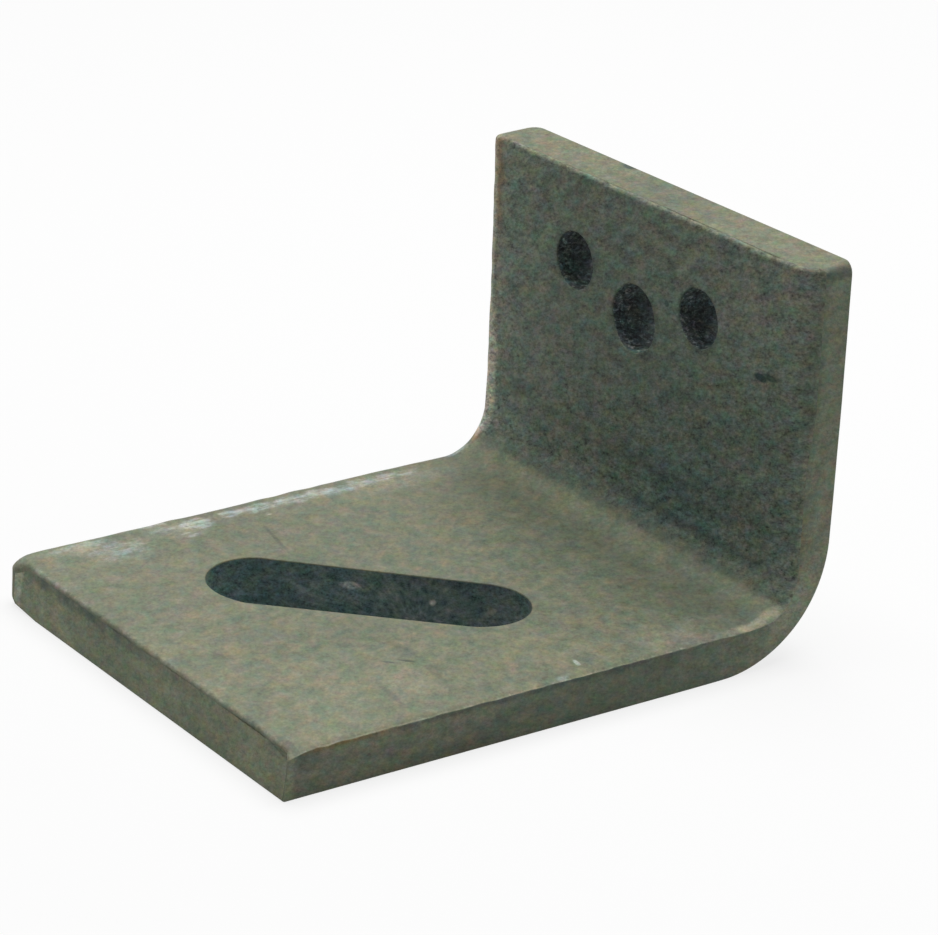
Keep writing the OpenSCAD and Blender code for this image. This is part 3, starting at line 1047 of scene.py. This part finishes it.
class ANCHOR_OT_stage(bpy.types.Operator):
    """Set up the pale floor, the soft light and the camera"""

    bl_idname = "anchor.stage"
    bl_label = "Stage"

    def execute(self, context):
        stage = context.scene.anchor_stage
        scene = context.scene
        scene.view_settings.view_transform = "Standard"
        self.make_camera(scene, stage)
        self.make_floor(stage)
        self.make_lights(scene)
        return {"FINISHED"}

    def make_camera(self, scene, stage):
        """Camera turned round the foot of the upright's back, as the picture was taken."""
        a, e, r = stage.azimuth, stage.elevation, stage.roll
        back = Vector((math.sin(a) * math.cos(e), -math.cos(a) * math.cos(e), math.sin(e)))
        right = Vector((math.cos(a), math.sin(a), 0.0))
        up = back.cross(right)
        right, up = right * math.cos(r) + up * math.sin(r), up * math.cos(r) - right * math.sin(r)
        data = bpy.data.cameras.new("camera")
        data.sensor_width = SENSOR_MM
        data.lens = stage.focal_px * SENSOR_MM / IMAGE_W
        data.clip_start = 0.01
        cam = bpy.data.objects.new("camera", data)
        place = Vector((0.0, NODE_HIGH.y, 0.0)) + right * stage.slide_x + up * stage.slide_y
        place += back * stage.distance
        turn = Matrix((right, up, back)).transposed().to_4x4()
        cam.matrix_world = Matrix.Translation(place) @ turn
        scene.collection.objects.link(cam)
        scene.camera = cam

    def make_floor(self, stage):
        """A wide pale floor that shows white to the camera and keeps a soft shadow."""
        bm = bmesh.new()
        bmesh.ops.create_grid(bm, x_segments=1, y_segments=1, size=FLOOR_REACH)
        obj = as_object("floor", bm)
        mat, n, shader = new_material("floor")
        mat.node_tree.nodes.remove(shader)
        pale = n.add("ShaderNodeBsdfDiffuse", {"Color": (*stage.floor, 1)}).outputs[0]
        bright = n.add("ShaderNodeBsdfDiffuse", {"Color": (0.95, 0.95, 0.95, 1)}).outputs[0]
        white = n.add("ShaderNodeEmission", {"Color": (1, 1, 1, 1), "Strength": 1.0}).outputs[0]
        shown = n.add("ShaderNodeMixShader", {0: FLOOR_GLOW, 1: bright, 2: white}).outputs[0]
        both = n.add("ShaderNodeMixShader", {0: self.seen_rays(n), 1: pale, 2: shown}).outputs[0]
        n.put(both, mat.node_tree.nodes["Material Output"].inputs["Surface"])
        obj.data.materials.append(mat)

    def seen_rays(self, n):
        """1 for rays that show the surround: straight to the camera, by gloss or through glass."""
        path = n.add("ShaderNodeLightPath").outputs
        shown = n.math("MAXIMUM", path["Is Camera Ray"], path["Is Glossy Ray"])
        return n.math("MAXIMUM", shown, path["Is Transmission Ray"])

    def make_lights(self, scene):
        """Soft light from above, with a weak even surround."""
        world = bpy.data.worlds.new("surround")
        world.use_nodes = True
        scene.world = world
        n = Nodes(world.node_tree)
        even = world.node_tree.nodes["Background"]
        even.inputs["Color"].default_value = (1, 1, 1, 1)
        even.inputs["Strength"].default_value = SURROUND
        white = n.add("ShaderNodeBackground", {"Color": (1, 1, 1, 1), "Strength": 1.0}).outputs[0]
        sides = {0: self.seen_rays(n), 1: even.outputs[0], 2: white}
        both = n.add("ShaderNodeMixShader", sides).outputs[0]
        n.put(both, world.node_tree.nodes["World Output"].inputs["Surface"])
        data = bpy.data.lights.new("overhead", "AREA")
        data.size = LAMP_SIZE
        data.energy = LAMP_POWER
        lamp = bpy.data.objects.new("overhead", data)
        lamp.location = LAMP_PLACE
        lamp.rotation_euler = (-Vector(LAMP_PLACE)).to_track_quat("-Z", "Y").to_euler()
        scene.collection.objects.link(lamp)


class ANCHOR_PT_panel(bpy.types.Panel):
    """Lists the pieces of the anchor and its stage"""

    bl_label = "Angle anchor"
    bl_idname = "ANCHOR_PT_panel"
    bl_space_type = "VIEW_3D"
    bl_region_type = "UI"
    bl_category = "Anchor"

    def draw(self, context):
        for step in STEPS:
            self.layout.operator(step.bl_idname)
        for group in ("anchor_sizes", "anchor_finish", "anchor_stage"):
            holder = getattr(context.scene, group)
            box = self.layout.box()
            for name in holder.bl_rna.properties.keys():
                if name not in ("rna_type", "name"):
                    box.prop(holder, name)


STEPS = (ANCHOR_OT_bar, ANCHOR_OT_stage)
GROUPS = {"anchor_sizes": AnchorSizes, "anchor_finish": AnchorFinish, "anchor_stage": AnchorStage}


def register():
    for cls in (*GROUPS.values(), *STEPS, ANCHOR_PT_panel):
        bpy.utils.register_class(cls)
    for name, cls in GROUPS.items():
        setattr(bpy.types.Scene, name, PointerProperty(type=cls))


def unregister():
    for name in GROUPS:
        delattr(bpy.types.Scene, name)
    for cls in reversed((*GROUPS.values(), *STEPS, ANCHOR_PT_panel)):
        bpy.utils.unregister_class(cls)


def main():
    register()
    bpy.ops.anchor.bar()
    bpy.ops.anchor.stage()


if __name__ == "__main__":
    main()
